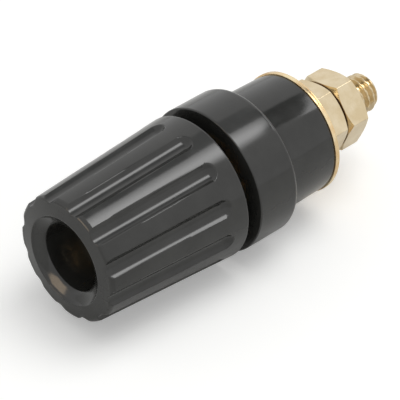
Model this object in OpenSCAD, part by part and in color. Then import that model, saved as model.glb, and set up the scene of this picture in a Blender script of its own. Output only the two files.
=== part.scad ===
// Insulated panel binding post for 4 mm plugs and bare wire, all sizes in millimetres.
// Frame: origin on the axis where the panel meets the front insulator, mouth of the knob
// towards -Y, terminal stud towards +Y, +Z up. Each piece is drawn along Z with the mouth
// upwards and then laid down along Y.

/* [Knob] */
// Length of the knob along the axis
knob_len = 16.5; // [15:0.1:20]
// Diameter of the knob at its rear edge
knob_rear_d = 14.7; // [13.8:0.1:16]
// Diameter of the knob at its front edge
knob_front_d = 12.8; // [12.2:0.1:14]
// Clear gap between the knob and the front insulator as drawn
knob_gap = 1.4; // [0.6:0.1:2.4]
// Radius of the soft front edge
knob_nose_r = 0.5; // [0.3:0.05:1]
// Radius of the small rear edge
knob_heel_r = 0.25; // [0.1:0.05:0.5]
// How far the rim of the mouth stands above the front edge
rim_rise = 0.2; // [0.05:0.05:0.3]
// Diameter of the rim of the mouth
mouth_d = 9.2; // [8.6:0.1:10]
// Depth of the funnel below the rim
mouth_depth = 0.65; // [0.3:0.05:1.5]
// Diameter of the plug hole through the knob
knob_bore_d = 6.8; // [6.6:0.1:7.4]

/* [Flutes] */
// Number of finger flutes round the knob
flute_count = 12; // [8:1:14]
// Width of a flute at the surface
flute_w = 1.9; // [1.2:0.1:2.2]
// Depth of a flute at its middle
flute_depth = 0.55; // [0.3:0.05:0.8]
// Plain collar left behind the round ends of the flutes
flute_collar = 1.9; // [1.2:0.1:4]
// Turn of the first flute about the axis
flute_turn = 20.2; // [0:0.2:30]

/* [Threaded insert] */
// Length of the brass insert inside the knob
insert_len = 7; // [5:0.1:8]
// Outer diameter of the insert
insert_d = 8.5; // [8.1:0.1:9]
// Depth of the two grooves that lock the insert in the moulding
insert_groove = 0.3; // [0.1:0.05:0.4]
// Width of each of those grooves
insert_groove_w = 1; // [0.6:0.1:1.4]

/* [Post] */
// Diameter of the screw thread that the knob runs on
post_thread_d = 6; // [5.6:0.1:6.2]
// Diameter of the plug socket
socket_d = 4; // [3.8:0.05:4.2]
// How far the front end of the post lies inside the mouth
post_recess = 5; // [4:0.1:6]
// How far the floor of the socket stays in front of the panel face
socket_floor = 1.5; // [1.2:0.1:2]
// Thickness of the solid root below the socket
socket_root = 1; // [0.6:0.1:1]
// Diameter of the rolled-out lip that keeps the knob on the post
lip_d = 6.4; // [6.3:0.05:6.5]
// Length of that lip
lip_len = 0.6; // [0.4:0.1:1]
// Diameter of the cross hole for a bare wire
wire_hole_d = 2.2; // [1.5:0.1:2.4]
// Width across flats of the hexagonal collar
collar_af = 8; // [7.6:0.1:8.4]
// Height of the collar
collar_h = 2.5; // [2:0.1:3]
// How far the collar stands above the front insulator
collar_rise = 0.1; // [0.05:0.05:0.2]

/* [Insulators] */
// Length of the front insulator ahead of the panel
front_len = 5; // [4.2:0.1:6]
// Diameter of the front insulator at its front face
front_d = 15; // [13.6:0.1:16]
// Diameter of the front insulator at the panel
front_rear_d = 14.8; // [13.6:0.1:16]
// Radius of the edge at the panel
front_edge_r = 0.6; // [0.2:0.05:0.8]
// Radius of the edge at the clamping face
front_lip_r = 0.15; // [0.05:0.05:0.3]
// Diameter of the spigot that fills the panel hole
spigot_d = 8; // [7.6:0.1:9]
// Width across the two flats of the spigot
spigot_af = 7; // [6.6:0.1:7.4]
// Length of the spigot
spigot_len = 3; // [2:0.1:4]
// Length of the rear insulator
rear_len = 6.1; // [5.6:0.1:8]
// Diameter of the rear insulator
rear_d = 12.5; // [11.4:0.1:13]
// Radius of the rear insulator's edges
rear_edge_r = 0.12; // [0.05:0.01:0.25]

/* [Terminal hardware] */
// Diameter of the terminal stud
stud_d = 4; // [3.8:0.1:4.2]
// How far the stud stands out behind the second nut
stud_out = 3.4; // [2:0.1:6]
// Chamfer on the end of the stud
stud_chamfer = 0.5; // [0.2:0.05:0.8]
// Diameter of the washer
washer_d = 12.5; // [10:0.1:13]
// Thickness of the washer
washer_t = 0.5; // [0.3:0.05:1]
// Width of the nuts across their flats
nut_af = 7; // [6.6:0.1:8]
// Thickness of the nut that clamps the post in the panel
clamp_nut_h = 3.8; // [2.4:0.1:4]
// Thickness of the nut that clamps a wire tag
terminal_nut_h = 2.8; // [2.2:0.1:4]
// Diameter of the flat ring left by the chamfers of a nut
nut_face_d = 6.9; // [6:0.1:7]
// Turn of the nuts about the axis
nut_turn = 8; // [0:0.2:60]

/* [Fits] */
// Radial clearance of the mating threads and of the insert in the knob
run_clear = 0.05; // [0.02:0.01:0.08]
// Clearance of the parts that are slid together and clamped
slip_clear = 0.1; // [0.05:0.01:0.15]
// Clearance of the stud in the insulators and the washer
stud_clear = 0.15; // [0.1:0.05:0.25]
// Depth below the crest at which the clamped stretch of the stud is drawn, near its pitch line
thread_relief = 0.2; // [0.18:0.01:0.25]

/* [Hidden] */
$fn = 96;

// How far a cut runs past the face that it opens
over = 1;

// Stations along the axis, panel face at 0 and the mouth upwards
knob_z = front_len + knob_gap;
mouth_z = knob_z + knob_len;
post_top = mouth_z - post_recess;
collar_top = front_len + collar_rise;
collar_z = collar_top - collar_h;
root_z = socket_floor - socket_root;
shank_d = stud_d - 2 * thread_relief;
wire_hole_z = collar_top + wire_hole_d / 2 + slip_clear;
washer_z = -rear_len - washer_t;
clamp_nut_z = washer_z - clamp_nut_h;
terminal_nut_z = clamp_nut_z - terminal_nut_h;
stud_end = terminal_nut_z - stud_out;

// Radii of the knob's side, which tapers in a straight line
knob_rear_r = knob_rear_d / 2;
knob_front_r = knob_front_d / 2;
taper = atan((knob_rear_r - knob_front_r) / knob_len);

// A flute is cut by a round bar whose axis runs outside the knob's side
flute_r = (flute_w * flute_w / 4 + flute_depth * flute_depth) / (2 * flute_depth);

// Points of an arc round (x, y) from angle a to angle b
function arc(x, y, r, a, b, steps = 8) =
    [for (i = [0 : steps]) let (t = a + (b - a) * i / steps) [x + r * cos(t), y + r * sin(t)]];

// Lays a piece that is drawn along Z down along Y, mouth to the front
module lay_down() {
    rotate([90, 0, 0]) children();
}

module bore(d, low, high) {
    translate([0, 0, low]) cylinder(d = d, h = high - low);
}

module hex_bar(af, low, high) {
    translate([0, 0, low]) cylinder(d = af / cos(30), h = high - low, $fn = 6);
}

// Round bar with two flats, as the spigot and its socket
module flatted_bar(d, af, low, high) {
    intersection() {
        bore(d, low, high);
        translate([-af / 2, -d, low]) cube([af, 2 * d, high - low]);
    }
}

// Side and front of the knob without its flutes, from its rear face at 0
module knob_body() {
    nose_x = knob_front_r - knob_nose_r;
    nose_z = knob_len - rim_rise - knob_nose_r;
    rotate_extrude() polygon(concat(
        [[0, 0]],
        arc(knob_rear_r - knob_heel_r, knob_heel_r, knob_heel_r, -90, taper, 5),
        arc(nose_x, nose_z, knob_nose_r, taper, 90),
        [[mouth_d / 2, knob_len], [knob_bore_d / 2, knob_len - mouth_depth], [0, knob_len - mouth_depth]]));
}

module flutes() {
    start_z = flute_collar + flute_w / 2;
    side_r = knob_rear_r - start_z * tan(taper);
    for (i = [0 : flute_count - 1])
        rotate([0, 0, flute_turn + i * 360 / flute_count])
            translate([side_r + (flute_r - flute_depth) / cos(taper), 0, start_z])
                rotate([0, -taper, 0]) {
                    sphere(r = flute_r);
                    cylinder(r = flute_r, h = knob_len);
                }
}

// The insert with its two ring grooves, or the pocket for it with the ridges that fill them
module insert_shape(grow) {
    r = insert_d / 2 + grow;
    root = r - insert_groove;
    half = insert_groove_w / 2 - grow;
    low = insert_len / 3;
    high = insert_len * 2 / 3;
    rotate_extrude() polygon([
        [0, -grow], [r, -grow],
        [r, low - half], [root, low - half], [root, low + half], [r, low + half],
        [r, high - half], [root, high - half], [root, high + half], [r, high + half],
        [r, insert_len + grow], [0, insert_len + grow]]);
}

module knob() {
    color([0.13, 0.13, 0.13]) lay_down() translate([0, 0, knob_z]) difference() {
        knob_body();
        flutes();
        bore(knob_bore_d, -over, knob_len + over);
        insert_shape(run_clear);
    }
}

module knob_insert() {
    color([0.80, 0.68, 0.42]) lay_down() translate([0, 0, knob_z]) difference() {
        insert_shape(0);
        bore(post_thread_d + 2 * run_clear, -over, insert_len + over);
    }
}

// One turned piece: threaded barrel with the plug socket, hexagonal collar and terminal stud
module post() {
    free_z = terminal_nut_z - thread_relief;
    color([0.84, 0.78, 0.66]) lay_down() difference() {
        union() {
            bore(post_thread_d, collar_top, post_top);
            bore(lip_d, post_top - lip_len, post_top);
            hex_bar(collar_af, collar_z, collar_top);
            bore(post_thread_d, root_z, collar_top);
            bore(shank_d, free_z, root_z);
            bore(stud_d, stud_end + stud_chamfer, free_z);
            translate([0, 0, stud_end])
                cylinder(d1 = stud_d - 2 * stud_chamfer, d2 = stud_d, h = stud_chamfer);
        }
        bore(socket_d, socket_floor, post_top + over);
        translate([-post_thread_d, 0, wire_hole_z])
            rotate([0, 90, 0]) cylinder(d = wire_hole_d, h = 2 * post_thread_d);
    }
}

module front_insulator() {
    color([0.13, 0.13, 0.13]) lay_down() difference() {
        union() {
            rotate_extrude() polygon(concat(
                [[0, 0]],
                arc(front_rear_d / 2 - front_edge_r, front_edge_r, front_edge_r, -90, 0),
                arc(front_d / 2 - front_lip_r, front_len - front_lip_r, front_lip_r, 0, 90, 4),
                [[0, front_len]]));
            flatted_bar(spigot_d, spigot_af, -spigot_len, front_edge_r);
        }
        hex_bar(collar_af + 2 * slip_clear, collar_z, front_len + over);
        bore(post_thread_d + 2 * slip_clear, root_z, front_len + over);
        bore(stud_d + 2 * stud_clear, -spigot_len - over, root_z + over);
    }
}

module rear_insulator() {
    edge_x = rear_d / 2 - rear_edge_r;
    color([0.13, 0.13, 0.13]) lay_down() difference() {
        rotate_extrude() polygon(concat(
            [[0, -rear_len]],
            arc(edge_x, rear_edge_r - rear_len, rear_edge_r, -90, 0, 4),
            arc(edge_x, -rear_edge_r, rear_edge_r, 0, 90, 4),
            [[0, 0]]));
        flatted_bar(spigot_d + 2 * slip_clear, spigot_af + 2 * slip_clear, -spigot_len - slip_clear, over);
        bore(stud_d + 2 * stud_clear, -rear_len - over, over);
    }
}

module washer() {
    color([0.86, 0.76, 0.55]) lay_down() difference() {
        bore(washer_d, washer_z, washer_z + washer_t);
        bore(stud_d + 2 * stud_clear, washer_z - over, washer_z + washer_t + over);
    }
}

// Hexagonal nut from its lower face at 0, both faces chamfered at 30 degrees
module hex_nut(height) {
    corner_r = nut_af / cos(30) / 2;
    face_r = nut_face_d / 2;
    slope = (corner_r - face_r) * tan(30);
    difference() {
        intersection() {
            hex_bar(nut_af, 0, height);
            rotate_extrude() polygon([
                [0, 0], [face_r, 0], [corner_r, slope],
                [corner_r, height - slope], [face_r, height], [0, height]]);
        }
        bore(shank_d + 2 * run_clear, -over, height + over);
    }
}

module clamp_nut() {
    color([0.88, 0.81, 0.66]) lay_down()
        translate([0, 0, clamp_nut_z]) rotate([0, 0, nut_turn]) hex_nut(clamp_nut_h);
}

module terminal_nut() {
    color([0.88, 0.81, 0.66]) lay_down()
        translate([0, 0, terminal_nut_z]) rotate([0, 0, nut_turn]) hex_nut(terminal_nut_h);
}

knob();
knob_insert();
post();
front_insulator();
rear_insulator();
washer();
clamp_nut();
terminal_nut();
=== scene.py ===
from math import cos, pi, radians, sin, tan
import bpy
import numpy as np
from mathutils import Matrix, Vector


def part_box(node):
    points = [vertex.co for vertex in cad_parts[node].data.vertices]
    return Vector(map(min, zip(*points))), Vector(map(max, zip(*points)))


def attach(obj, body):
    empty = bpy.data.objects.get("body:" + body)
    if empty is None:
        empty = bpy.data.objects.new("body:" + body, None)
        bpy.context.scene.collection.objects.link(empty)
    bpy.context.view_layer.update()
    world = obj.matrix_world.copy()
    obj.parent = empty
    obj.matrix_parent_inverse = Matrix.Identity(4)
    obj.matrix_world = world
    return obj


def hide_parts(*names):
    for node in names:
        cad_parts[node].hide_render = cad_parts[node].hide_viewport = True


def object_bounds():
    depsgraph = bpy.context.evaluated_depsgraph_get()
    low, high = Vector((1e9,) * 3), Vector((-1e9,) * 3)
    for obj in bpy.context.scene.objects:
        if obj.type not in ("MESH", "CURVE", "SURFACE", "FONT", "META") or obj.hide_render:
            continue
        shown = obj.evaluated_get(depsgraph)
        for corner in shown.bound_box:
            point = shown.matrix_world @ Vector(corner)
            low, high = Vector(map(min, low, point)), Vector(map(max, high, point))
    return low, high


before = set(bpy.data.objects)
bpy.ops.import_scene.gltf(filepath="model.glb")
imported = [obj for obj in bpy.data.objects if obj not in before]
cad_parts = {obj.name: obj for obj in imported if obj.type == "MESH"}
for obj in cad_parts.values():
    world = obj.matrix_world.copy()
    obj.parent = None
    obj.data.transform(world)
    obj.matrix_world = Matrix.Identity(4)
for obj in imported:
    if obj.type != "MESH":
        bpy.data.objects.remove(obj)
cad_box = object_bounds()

scene = bpy.context.scene
scene.view_settings.view_transform = "Standard"

# ---- Camera ----
# A long lens looks down along the post from the mouth side, at a little over 37 degrees.
camera_turn = radians(46.7)
camera_rise = radians(37.4)
camera_away = 0.300
aim = Vector((-0.000893, -0.005, -0.002828))
away = Vector((sin(camera_turn) * cos(camera_rise), -cos(camera_turn) * cos(camera_rise), sin(camera_rise)))
camera_data = bpy.data.cameras.new("camera")
camera_data.lens = 283.64
camera_data.sensor_width = 36
camera_data.clip_start = 0.001
camera = bpy.data.objects.new("camera", camera_data)
scene.collection.objects.link(camera)
camera.location = aim + away * camera_away
camera.rotation_euler = away.to_track_quat("Z", "Y").to_euler()
scene.camera = camera


# ---- Studio ----
# A white room with a pale floor and one broad soft lamp overhead. The strip light, the flags
# round it, the light behind them and the warm card show only as reflections in the gloss.
def add_node(tree, kind, sockets, **settings):
    node = tree.nodes.new(kind)
    for key, value in settings.items():
        setattr(node, key, value)
    for key, value in sockets.items():
        if isinstance(value, bpy.types.NodeSocket):
            tree.links.new(value, node.inputs[key])
        else:
            node.inputs[key].default_value = value
    return node


def linear(code):
    """The linear colour of an sRGB hex code."""
    shares = [int(code[i:i + 2], 16) / 255 for i in (1, 3, 5)]
    return [c / 12.92 if c <= 0.04045 else ((c + 0.055) / 1.055) ** 2.4 for c in shares] + [1]


def new_material(name):
    material = bpy.data.materials.new(name)
    material.use_nodes = True
    material.node_tree.nodes.clear()
    return material, material.node_tree


# The room is at full white for the camera, for gloss and for glass, and dimmer as a light.
room_light = 0.55
world = bpy.data.worlds.new("white_room")
scene.world = world
world.use_nodes = True
room = world.node_tree
room.nodes.clear()
path = add_node(room, "ShaderNodeLightPath", {})
seen = add_node(room, "ShaderNodeMath", {0: path.outputs["Is Camera Ray"], 1: path.outputs["Is Glossy Ray"]},
                operation="MAXIMUM")
seen = add_node(room, "ShaderNodeMath", {0: seen.outputs[0], 1: path.outputs["Is Transmission Ray"]},
                operation="MAXIMUM")
level = add_node(room, "ShaderNodeMath", {0: seen.outputs[0], 1: 1 - room_light, 2: room_light},
                 operation="MULTIPLY_ADD")
sky = add_node(room, "ShaderNodeBackground", {"Color": (1, 1, 1, 1), "Strength": level.outputs[0]})
add_node(room, "ShaderNodeOutputWorld", {"Surface": sky.outputs[0]})

lamp_data = bpy.data.lights.new("overhead", "AREA")
lamp_data.energy = 1.5
lamp_data.size = 0.4
lamp = bpy.data.objects.new("overhead", lamp_data)
scene.collection.objects.link(lamp)
lamp.location = (0.10, 0.16, 0.56)
lamp.rotation_euler = lamp.location.to_track_quat("Z", "Y").to_euler()
lamp.visible_glossy = False


def card(name, low, high):
    """A flat sheet between two corners that share one coordinate."""
    bpy.ops.object.select_all(action="DESELECT")
    bpy.ops.mesh.primitive_plane_add(size=1)
    sheet = bpy.context.object
    sheet.name = name
    for corner in sheet.data.vertices:
        ends = iter((corner.co.x > 0, corner.co.y > 0))
        corner.co = [a if a == b else (b if next(ends) else a) for a, b in zip(low, high)]
    return sheet


def reflection_only(sheet):
    sheet.visible_camera = False
    sheet.visible_diffuse = False
    sheet.visible_transmission = False
    sheet.visible_shadow = False


# The sheets above the post lie in one plane: the strip light with a grey flag on its left,
# and behind both the black flag and the rear light.
sheets_z = 0.040
sheets_front = -0.012
strip_left = 0.004
strip_right = 0.026
strip_back = 0.0245
flag_back = 0.0366
strip_peak = 6.4
strip_light, tree = new_material("strip_light")
place = add_node(tree, "ShaderNodeTexCoord", {})
split = add_node(tree, "ShaderNodeSeparateXYZ", {0: place.outputs["Object"]})
rise = add_node(tree, "ShaderNodeMapRange", {"Value": split.outputs["X"], "From Min": strip_left,
                                             "From Max": 0.012, "To Min": 2.6, "To Max": strip_peak})
fall = add_node(tree, "ShaderNodeMapRange", {"Value": split.outputs["X"], "From Min": 0.016,
                                             "From Max": 0.025, "To Min": strip_peak, "To Max": 1.0})
glow = add_node(tree, "ShaderNodeMath", {0: rise.outputs[0], 1: fall.outputs[0]}, operation="MINIMUM")
light = add_node(tree, "ShaderNodeEmission", {"Color": (1, 1, 1, 1), "Strength": glow.outputs[0]})
add_node(tree, "ShaderNodeOutputMaterial", {"Surface": light.outputs[0]})
strip = card("strip_light", (strip_left, sheets_front, sheets_z), (strip_right, strip_back, sheets_z))
strip.data.materials.append(strip_light)
reflection_only(strip)

cards = (("grey_flag", "#c4c6c8", 1.0, (-0.014, sheets_front, sheets_z), (strip_left, strip_back, sheets_z)),
         ("black_flag", "#54585c", 1.0, (-0.007, strip_back, sheets_z), (0.019, flag_back, sheets_z)),
         ("rear_light", "#ffffff", 4.0, (0.000, flag_back, sheets_z), (0.022, 0.0580, sheets_z)),
         ("warm_card", "#ffe9cf", 4.0, (-0.090, -0.170, -0.002), (-0.014, -0.170, 0.052)))
for name, shade, power, low, high in cards:
    cloth, tree = new_material(name)
    glow = add_node(tree, "ShaderNodeEmission", {"Color": linear(shade), "Strength": power})
    add_node(tree, "ShaderNodeOutputMaterial", {"Surface": glow.outputs[0]})
    sheet = card(name, low, high)
    sheet.data.materials.append(cloth)
    reflection_only(sheet)

# The floor is matt, and lifted for the camera alone, so that it is white and keeps the shadow.
floor_reach = 1.5
floor_z = cad_box[0].z - 0.0001
pale_floor, tree = new_material("pale_floor")
path = add_node(tree, "ShaderNodeLightPath", {})
lift = add_node(tree, "ShaderNodeMath", {0: path.outputs["Is Camera Ray"], 1: 0.27}, operation="MULTIPLY")
paint = add_node(tree, "ShaderNodeBsdfDiffuse", {"Color": linear("#f2f2f0")})
extra = add_node(tree, "ShaderNodeEmission", {"Color": (1, 1, 1, 1), "Strength": lift.outputs[0]})
both = add_node(tree, "ShaderNodeAddShader", {0: paint.outputs[0], 1: extra.outputs[0]})
add_node(tree, "ShaderNodeOutputMaterial", {"Surface": both.outputs[0]})
floor = card("floor", (-floor_reach, -floor_reach, floor_z), (floor_reach, floor_reach, floor_z))
floor.data.materials.append(pale_floor)


# ---- Knob ----
# Black moulded plastic, turned by the fingers: a slight cone with twelve round-bottomed
# flutes that end in ball ends before a plain collar, and a funnel mouth for the plug.
def arc(x, y, r, first, last, steps):
    turns = [radians(first + (last - first) * i / steps) for i in range(steps + 1)]
    return [(x + r * cos(t), y + r * sin(t)) for t in turns]


def turned(name, outline, columns, start=0.0):
    """Spins a closed outline of (radius, station) in millimetres about Y; stations run to -Y from start."""
    bpy.ops.object.select_all(action="DESELECT")
    bpy.ops.mesh.primitive_circle_add(vertices=len(outline), radius=1)
    piece = bpy.context.object
    piece.name = name
    piece.data.name = name
    for point, (radius, station) in zip(piece.data.vertices, outline):
        point.co = (radius / 1000, (start - station) / 1000, 0)
    bpy.ops.object.mode_set(mode="EDIT")
    bpy.ops.mesh.select_all(action="SELECT")
    bpy.ops.mesh.spin(steps=columns, angle=2 * pi, center=(0, 0, 0), axis=(0, 1, 0), use_auto_merge=True)
    bpy.ops.object.mode_set(mode="OBJECT")
    return piece


def press(piece, rule):
    """Moves the vertices by a rule on their radius, angle and place along Y, in millimetres."""
    spots = np.empty(len(piece.data.vertices) * 3)
    piece.data.vertices.foreach_get("co", spots)
    spots = spots.reshape(-1, 3) * 1000
    radius = np.hypot(spots[:, 0], spots[:, 2])
    angle = np.arctan2(spots[:, 2], spots[:, 0])
    radius, along = rule(radius, angle, spots[:, 1])
    spots = np.stack((radius * np.cos(angle), along, radius * np.sin(angle)), axis=1) / 1000
    piece.data.vertices.foreach_set("co", spots.ravel())
    piece.data.update()


def close_up(piece, crease=35):
    """Merges doubles, turns the faces outwards and smooths all but the creases."""
    bpy.ops.object.select_all(action="DESELECT")
    piece.select_set(True)
    bpy.context.view_layer.objects.active = piece
    bpy.ops.object.mode_set(mode="EDIT")
    bpy.ops.mesh.select_all(action="SELECT")
    bpy.ops.mesh.remove_doubles(threshold=1e-6)
    bpy.ops.mesh.delete_loose()
    bpy.ops.mesh.select_all(action="SELECT")
    bpy.ops.mesh.normals_make_consistent(inside=False)
    bpy.ops.object.mode_set(mode="OBJECT")
    bpy.ops.object.shade_smooth_by_angle(angle=radians(crease))


def softer(a, b, width):
    """The smaller of two values, with the corner between them rounded over that width."""
    share = np.clip(0.5 + 0.5 * (b - a) / width, 0, 1)
    return b * (1 - share) + a * share - width * share * (1 - share)


knob_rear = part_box("knob")[1].y * 1000
knob_len = knob_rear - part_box("knob")[0].y * 1000
knob_rear_r = 7.35
knob_front_r = 6.4
side_lean = 3.3
heel_round = 0.25
nose_round = 0.5
heel = arc(knob_rear_r - heel_round, heel_round, heel_round, -90, side_lean, 6)
nose = arc(knob_front_r - nose_round, knob_len - nose_round - 0.2, nose_round, side_lean, 90, 10)
# The rings of the side lie closest round the ball ends, and close to both rounded edges. Here
# and below, points that bend nothing keep the smooth shading of a rounded edge to that edge.
ball_rings = list(np.arange(1.8, 4.2, 0.075))
side_rings = list(np.arange(4.4, 15.7, 0.56))
stations = [0.3, 0.6, 1.1, 1.5, 1.7] + ball_rings + side_rings + [15.78]
side = [(float(np.interp(z, (heel[-1][1], nose[0][1]), (heel[-1][0], nose[0][0]))), z) for z in stations]

# The end face is crowned a little, and turns over a soft lip into the funnel.
mouth = [(5.6, knob_len - 0.155), (5.2, knob_len - 0.09), (4.85, knob_len - 0.04)]
mouth += arc(4.62, knob_len - 0.12, 0.12, 82, 150, 5)
mouth += [(4.2, knob_len - 0.26), (3.85, knob_len - 0.44), (3.55, knob_len - 0.62)]
mouth += arc(3.62, knob_len - 0.86, 0.22, 140, 180, 3)

# Behind the plug hole lies the pocket for the insert, with the two ridges that hold it.
plug_hole_r = 3.4
insert_pocket_r = 4.3
insert_pocket_len = 7.05
ridge_r = 4.0
ridges = ((5.12, 4.22), (2.78, 1.88))
insert_pocket = [(plug_hole_r, 12), (plug_hole_r, insert_pocket_len), (insert_pocket_r, insert_pocket_len)]
for fore, aft in ridges:
    insert_pocket += [(insert_pocket_r, fore), (ridge_r, fore), (ridge_r, aft), (insert_pocket_r, aft)]
insert_pocket += [(insert_pocket_r, 0), (5.3, 0), (6.3, 0)]
knob = turned("finger_knob", heel + side + nose + mouth + insert_pocket, 480, knob_rear)

# Each flute is the print of a round bar with a ball end, laid along the leaning side.
flute_count = 12
flute_depth = 0.55
flute_width = 1.9
flute_from = 2.85
flute_turn = radians(20.2)
flute_edge = 0.09
taper = np.arctan((knob_rear_r - knob_front_r) / knob_len)
bar_r = (flute_width ** 2 / 4 + flute_depth ** 2) / (2 * flute_depth)
bar_x = knob_rear_r - flute_from * tan(taper) + (bar_r - flute_depth) / cos(taper)
far_off = 99


def flutes(radius, angle, station):
    """Where the bar or its ball end reaches below the side, the side sinks to it; elsewhere it is far off."""
    pitch = 2 * pi / flute_count
    turn = (angle - flute_turn + pitch / 2) % pitch - pitch / 2
    along = knob_rear - station - flute_from
    reach = bar_x * cos(taper) - along * sin(taper)
    across = (np.cos(turn) * cos(taper)) ** 2 + np.sin(turn) ** 2
    half = reach * np.cos(turn) * cos(taper)
    room = half ** 2 - across * (reach ** 2 - bar_r ** 2)
    straight = np.where(room > 0, (half - np.sqrt(np.maximum(room, 0))) / across, far_off)
    room = (bar_x * np.cos(turn)) ** 2 - (bar_x ** 2 + along ** 2 - bar_r ** 2)
    ball = np.where(room > 0, bar_x * np.cos(turn) - np.sqrt(np.maximum(room, 0)), far_off)
    flute_floor = np.where(along < 0, ball, straight)
    return softer(radius, flute_floor, flute_edge), station


press(knob, flutes)
close_up(knob)

# Injection moulded thermoplastic, near black: a hard gloss with a faint change of sheen in
# patches of about 3 mm, and the grain of a used tool, 0.2 mm, coarse enough to break the gloss.
patches_per_mm = 0.35
grains_per_mm = 5.0
moulded_plastic, tree = new_material("moulded_thermoplastic")
place = add_node(tree, "ShaderNodeTexCoord", {})
in_mm = add_node(tree, "ShaderNodeVectorMath", {0: place.outputs["Object"], "Scale": 1000.0},
                 operation="SCALE")
cloud = add_node(tree, "ShaderNodeTexNoise", {"Vector": in_mm.outputs[0], "Scale": patches_per_mm,
                                              "Detail": 4.0})
grain = add_node(tree, "ShaderNodeTexNoise", {"Vector": in_mm.outputs[0], "Scale": grains_per_mm,
                                              "Detail": 3.0})
tint = add_node(tree, "ShaderNodeValToRGB", {"Fac": cloud.outputs["Fac"]})
tint.color_ramp.elements[0].position = 0.3
tint.color_ramp.elements[0].color = linear("#272725")
tint.color_ramp.elements[1].position = 0.7
tint.color_ramp.elements[1].color = linear("#31312f")
sheen = add_node(tree, "ShaderNodeMapRange", {"Value": cloud.outputs["Fac"], "From Min": 0.3, "From Max": 0.7,
                                              "To Min": 0.11, "To Max": 0.16})
relief = add_node(tree, "ShaderNodeBump", {"Height": grain.outputs["Fac"], "Strength": 0.15,
                                           "Distance": 0.000006})
shader = add_node(tree, "ShaderNodeBsdfPrincipled", {"Base Color": tint.outputs["Color"],
                                                     "Roughness": sheen.outputs[0], "IOR": 1.5,
                                                     "Normal": relief.outputs["Normal"]})
add_node(tree, "ShaderNodeOutputMaterial", {"Surface": shader.outputs[0]})
knob.data.materials.append(moulded_plastic)
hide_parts("knob")
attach(knob, "knob_body")

# ---- Threaded insert ----
# A turned brass bush moulded into the knob, with two ring grooves that the plastic grips
# and a lead-in at each end of its bore.
insert_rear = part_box("knob_insert")[1].y * 1000
bush_len = 7
bush_r = 4.25
bush_edge = 0.15
bush_bore_r = 3.05
lead_in = 0.3
groove_r = 3.95
grooves = ((1.83, 2.83), (4.17, 5.17))
bush = [(bush_bore_r + lead_in, 0), (bush_r - bush_edge, 0), (bush_r, bush_edge)]
for aft, fore in grooves:
    bush += [(bush_r, aft), (groove_r, aft), (groove_r, fore), (bush_r, fore)]
bush += [(bush_r, bush_len - bush_edge), (bush_r - bush_edge, bush_len), (bush_bore_r + lead_in, bush_len)]
bush += [(bush_bore_r, bush_len - lead_in), (bush_bore_r, lead_in)]
insert = turned("brass_insert", bush, 128, insert_rear)
close_up(insert, 25)


def metal(name, pale, deep, low, high, shaded_seams=()):
    """Turned metal with tool rings, and brown painted shade in its seams, each (place along Y, half width).
    """
    material, tree = new_material(name)
    place = add_node(tree, "ShaderNodeTexCoord", {})
    # Tool rings 0.07 mm apart along the axis, drawn coarser than real ones so that they show.
    rings = add_node(tree, "ShaderNodeMapping", {"Vector": place.outputs["Object"],
                                                 "Scale": (300, 14000, 300)})
    marks = add_node(tree, "ShaderNodeTexNoise", {"Vector": rings.outputs[0], "Scale": 1.0, "Detail": 3.0})
    in_mm = add_node(tree, "ShaderNodeVectorMath", {0: place.outputs["Object"], "Scale": 1000.0},
                     operation="SCALE")
    cloud = add_node(tree, "ShaderNodeTexNoise", {"Vector": in_mm.outputs[0], "Scale": 0.7, "Detail": 5.0})
    tint = add_node(tree, "ShaderNodeValToRGB", {"Fac": cloud.outputs["Fac"]})
    tint.color_ramp.elements[0].position = 0.35
    tint.color_ramp.elements[0].color = linear(deep)
    tint.color_ramp.elements[1].position = 0.65
    tint.color_ramp.elements[1].color = linear(pale)
    polish = add_node(tree, "ShaderNodeMapRange", {"Value": marks.outputs["Fac"], "From Min": 0.3,
                                                   "From Max": 0.7, "To Min": low, "To Max": high})
    relief = add_node(tree, "ShaderNodeBump", {"Height": marks.outputs["Fac"], "Strength": 0.2,
                                               "Distance": 0.000006})
    colour = tint.outputs["Color"]
    split = add_node(tree, "ShaderNodeSeparateXYZ", {0: in_mm.outputs[0]})
    # Painted shade: the colour turns brown near each seam, where the faces meet and shade falls.
    for seam, half in shaded_seams:
        seam_shade_mask = add_node(tree, "ShaderNodeMath", {0: split.outputs["Y"], 1: seam}, operation="SUBTRACT")
        seam_shade_mask = add_node(tree, "ShaderNodeMath", {0: seam_shade_mask.outputs[0]}, operation="ABSOLUTE")
        seam_shade_mask = add_node(tree, "ShaderNodeMapRange", {"Value": seam_shade_mask.outputs[0], "From Min": half * 0.6,
                                                     "From Max": half, "To Min": 1.0, "To Max": 0.0})
        painted_shade = add_node(tree, "ShaderNodeMix", {0: seam_shade_mask.outputs[0], 6: colour, 7: linear("#6f5836")},
                         data_type="RGBA")
        colour = painted_shade.outputs[2]
    shader = add_node(tree, "ShaderNodeBsdfPrincipled", {"Base Color": colour, "Metallic": 1.0,
                                                         "Roughness": polish.outputs[0],
                                                         "Normal": relief.outputs["Normal"]})
    add_node(tree, "ShaderNodeOutputMaterial", {"Surface": shader.outputs[0]})
    return material


# Bare turned brass: warm yellow, bright where the tool passed.
insert.data.materials.append(metal("turned_brass", "#e0bf74", "#cda75a", 0.2, 0.32))
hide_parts("knob_insert")
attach(insert, "insert_body")

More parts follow.
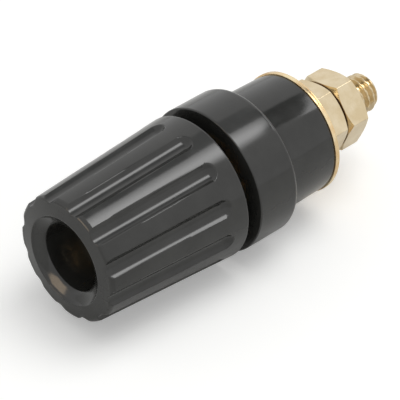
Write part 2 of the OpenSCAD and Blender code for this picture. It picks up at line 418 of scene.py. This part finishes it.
# ---- Post ----
# One piece of turned brass under thin nickel: a 6 mm screw that the knob runs on, with the
# plug socket bored into it and a cross hole for a wire, a hexagon collar, and the 4 mm stud.
post_top = -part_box("post")[0].y * 1000
stud_end = -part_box("post")[1].y * 1000
socket_r = 2
socket_end = 1.5
lip_r = 3.2
barrel_r = 3.0
barrel_end = 0.5
barrel_pitch = 1.0
shank_r = 1.8
stud_from = -13.1
stud_r = 2.0
stud_tip_r = 1.5
stud_pitch = 0.7
collar_rear = 2.6
collar_front = 5.1
shape = [(0, socket_end), (1, socket_end), (socket_r, socket_end), (socket_r, 4), (socket_r, post_top - 0.3)]
shape += [(2.25, post_top), (3.05, post_top)]
shape += [(lip_r, post_top - 0.15), (lip_r, post_top - 0.5), (barrel_r, post_top - 0.6)]
shape += [(barrel_r, z) for z in np.arange(post_top - 0.7, 5.25, -0.0833)]
shape += [(barrel_r, collar_front), (barrel_r, barrel_end), (shank_r, barrel_end)]
shape += [(shank_r, stud_from), (stud_r, stud_from - 0.02)]
shape += [(stud_r, z) for z in np.arange(stud_from - 0.05, stud_end + 0.02, -0.05)]
shape += [(stud_tip_r, stud_end), (0.8, stud_end), (0, stud_end)]
post = turned("threaded_post", shape, 144)


def thread(radius, turn, along, crest, pitch):
    """Radius of a right-hand 60 degree screw thread at an angle and a station."""
    flank = 1.732
    depth = 0.613 * pitch
    off = np.abs((along / pitch - turn / (2 * pi)) % 1 - 0.5) * pitch
    return np.minimum(radius, crest - np.clip((off - pitch / 16) * flank, 0, depth))


def cut_threads(radius, angle, station):
    along = -station
    barrel = (radius > barrel_r - 0.1) & (along < post_top - 0.65) & (along > collar_front + 0.1)
    radius = np.where(barrel, thread(radius, angle, along, barrel_r, barrel_pitch), radius)
    stud = (radius > stud_tip_r - 0.05) & (along < stud_from - 0.01)
    chamfer = np.minimum(radius, stud_tip_r + np.maximum(along - stud_end, 0))
    return np.where(stud, thread(chamfer, angle, along, stud_r, stud_pitch), radius), station


press(post, cut_threads)
close_up(post, 40)

wire_hole_at = 0.0063
wire_hole_r = 0.0011
drill_len = 0.014
bpy.ops.object.select_all(action="DESELECT")
bpy.ops.mesh.primitive_cylinder_add(vertices=64, radius=wire_hole_r, depth=drill_len,
                                    location=(0, -wire_hole_at, 0), rotation=(0, pi / 2, 0))
drill = bpy.context.object
bpy.ops.object.select_all(action="DESELECT")
post.select_set(True)
bpy.context.view_layer.objects.active = post
cut = post.modifiers.new("cross_hole", "BOOLEAN")
cut.operation = "DIFFERENCE"
cut.object = drill
cut.solver = "EXACT"
bpy.ops.object.modifier_apply(modifier=cut.name)
bpy.data.objects.remove(drill, do_unlink=True)


def hexagon(angle, flats, turn, corner):
    """Radius of a hexagon of that width across flats, its corners rounded over the width corner."""
    apart = np.abs((angle - turn) % (pi / 3) - pi / 6)
    return softer(flats / 2 / np.cos(apart), flats / 2 / np.cos(pi / 3 - apart), corner)


collar_flats = 8.0
collar_bore_r = 2.3
collar_face_r = 4.5
collar_r = 4.7
collar_edge = 0.12
collar_corner = 0.05
ring = [(collar_bore_r, collar_rear), (collar_face_r, collar_rear), (collar_r, collar_rear + collar_edge)]
ring += [(collar_r, collar_front - collar_edge), (collar_face_r, collar_front), (collar_bore_r, collar_front)]
collar = turned("collar", ring, 240)


def six_flats(radius, angle, station):
    outside = radius > 3
    bar = hexagon(angle, collar_flats, 0.0, collar_corner)
    return np.where(outside, np.minimum(radius, bar), radius), station


press(collar, six_flats)
close_up(collar, 25)
bpy.ops.object.select_all(action="DESELECT")
collar.select_set(True)
post.select_set(True)
bpy.context.view_layer.objects.active = post
bpy.ops.object.join()
# Nickel over brass: pale, a little warm, with a soft polish.
post.data.materials.clear()
post.data.materials.append(metal("nickel_plated_brass", "#dccbac", "#cebb97", 0.14, 0.24))
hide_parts("post")
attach(post, "post_body")

# ---- Front insulator ----
# A black moulded ring that the knob clamps a wire against, with a hexagon pocket for the
# collar and a flatted spigot that fills the hole in the panel.
stud_hole_r = 2.15
spigot_end = -3
spigot_r = 4.0
spigot_half_flats = 3.5
front_r = 7.45
front_len = 5
panel_round = 0.6
wire_side_r = 7.465
wire_side_round = 0.15
collar_pocket_r = 4.1
collar_pocket_flats = 8.2
barrel_hole_r = 3.1
front = [(stud_hole_r, barrel_end), (stud_hole_r, spigot_end), (spigot_r - 0.15, spigot_end)]
front += [(spigot_r, spigot_end + 0.15), (spigot_r, 0), (5.0, 0), (6.2, 0)]
front += arc(front_r - panel_round, panel_round, panel_round, -90, 0, 12)
front += [(front_r + 0.001, 0.64), (front_r + 0.005, 2), (front_r + 0.01, 3.4), (wire_side_r, 4.82)]
front += arc(wire_side_r - wire_side_round, front_len - wire_side_round, wire_side_round, 0, 90, 5)
front += [(6.6, front_len), (5.6, front_len), (collar_pocket_r, front_len), (collar_pocket_r, 3.8)]
front += [(collar_pocket_r, collar_rear), (barrel_hole_r, collar_rear), (barrel_hole_r, barrel_end)]
front_ring = turned("front_insulator_moulding", front, 192)


def pocket_and_flats(radius, angle, station):
    wall = (np.abs(radius - collar_pocket_r) < 0.05) & (station < -2.5)
    radius = np.where(wall, hexagon(angle, collar_pocket_flats, 0.0, collar_corner), radius)
    spigot = (station > -0.001) & (radius > 2.5) & (radius < spigot_r + 0.05)
    flat = spigot_half_flats / np.maximum(np.abs(np.cos(angle)), 0.01)
    return np.where(spigot, np.minimum(radius, flat), radius), station


press(front_ring, pocket_and_flats)
close_up(front_ring)
front_ring.data.materials.append(moulded_plastic)
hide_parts("front_insulator")
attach(front_ring, "post_body")

# ---- Rear insulator ----
# A plain black moulded ring behind the panel, with crisp edges, a slight draft towards the
# washer, and a flatted pocket that takes the spigot, so that it can't turn.
rear_end = -6.1
washer_side_r = 6.12
panel_side_r = 6.25
rear_round = 0.12
spigot_pocket_end = -3.1
spigot_pocket_r = 4.1
spigot_pocket_half_flats = 3.6
rear = [(stud_hole_r, spigot_pocket_end), (stud_hole_r, rear_end), (4, rear_end)]
rear += arc(washer_side_r - rear_round, rear_end + rear_round, rear_round, -90, 0, 5)
rear += [(washer_side_r + 0.003, -5.95), (6.186, -3), (panel_side_r - 0.001, -0.15)]
rear += arc(panel_side_r - rear_round, -rear_round, rear_round, 0, 90, 5)
rear += [(5.2, 0), (spigot_pocket_r, 0), (spigot_pocket_r, spigot_pocket_end)]
rear_ring = turned("rear_insulator_moulding", rear, 192)


def flatted_pocket(radius, angle, station):
    wall = np.abs(radius - spigot_pocket_r) < 0.05
    flat = spigot_pocket_half_flats / np.maximum(np.abs(np.cos(angle)), 0.01)
    return np.where(wall, np.minimum(radius, flat), radius), station


press(rear_ring, flatted_pocket)
close_up(rear_ring)
rear_ring.data.materials.append(moulded_plastic)
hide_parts("rear_insulator")
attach(rear_ring, "post_body")

# ---- Washer ----
# A stamped brass washer under a thin, worn plating, its edge rolled over a little on the
# side where the punch went in.
washer_r = 6.25
washer_front = -6.1
washer_back = -6.6
punched_round = 0.08
torn_round = 0.05
plate = [(stud_hole_r, washer_front - 0.03), (stud_hole_r, washer_back + 0.03)]
plate += [(stud_hole_r + 0.05, washer_back), (4, washer_back)]
plate += arc(washer_r - punched_round, washer_back + punched_round, punched_round, -90, 0, 4)
plate += arc(washer_r - torn_round, washer_front - torn_round, torn_round, 0, 90, 3)
plate += [(4, washer_front), (stud_hole_r + 0.05, washer_front)]
washer = turned("stamped_washer", plate, 192)
close_up(washer)
washer.data.materials.append(metal("thinly_plated_brass", "#efdcb4", "#dcb988", 0.2, 0.3))
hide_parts("washer")
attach(washer, "post_body")

# ---- Nuts ----
# Two hexagon nuts turned from drawn brass bar and nickel plated: both faces chamfered at 30
# degrees, so that each flat ends in a shallow curve, and the thread countersunk.
nut_flats = 7.0
nut_corner = 0.1
nut_corner_r = 4.05
nut_turn = radians(8)
nut_face_r = 3.27
nut_bore_r = 1.85
countersink_r = 2.12
countersink = 0.3
chamfer = tan(pi / 6)
# Painted shade darkens the seams where the first nut meets the washer and the second nut.
nut_shaded_seams = [(6.6, 0.09), (10.4, 0.17)]
nut_plating = metal("nickel_plated_bar", "#dfcfb0", "#d3c09c", 0.12, 0.2, nut_shaded_seams)


def nut(name, node):
    low = -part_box(node)[1].y * 1000
    high = -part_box(node)[0].y * 1000
    middle = (low + high) / 2
    steps = 12
    radii = [nut_face_r + (nut_corner_r - nut_face_r) * i / steps for i in range(steps + 1)]
    outline = [(nut_bore_r, low + countersink), (nut_bore_r, high - countersink)]
    outline += [(countersink_r, high), (2.8, high)]
    outline += [(r, high - (r - nut_face_r) * chamfer) for r in radii]
    outline += [(nut_corner_r, middle)]
    outline += [(r, low + (r - nut_face_r) * chamfer) for r in reversed(radii)]
    outline += [(2.8, low), (countersink_r, low)]
    piece = turned(name, outline, 360)

    def hexagon_bar(radius, angle, station):
        outer = radius > nut_face_r - 0.01
        bar = hexagon(angle, nut_flats, nut_turn, nut_corner)
        trimmed = np.where(outer, np.minimum(radius, bar), radius)
        drop = np.maximum(trimmed - nut_face_r, 0) * chamfer
        halfway = np.abs(-station - middle) < 0.01
        faced = np.where(-station > middle, -(high - drop), -(low + drop))
        return trimmed, np.where(outer & ~halfway, faced, station)

    press(piece, hexagon_bar)
    close_up(piece, 20)
    piece.data.materials.append(nut_plating)
    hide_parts(node)
    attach(piece, "post_body")


nut("panel_nut", "clamp_nut")
nut("outer_nut", "terminal_nut")
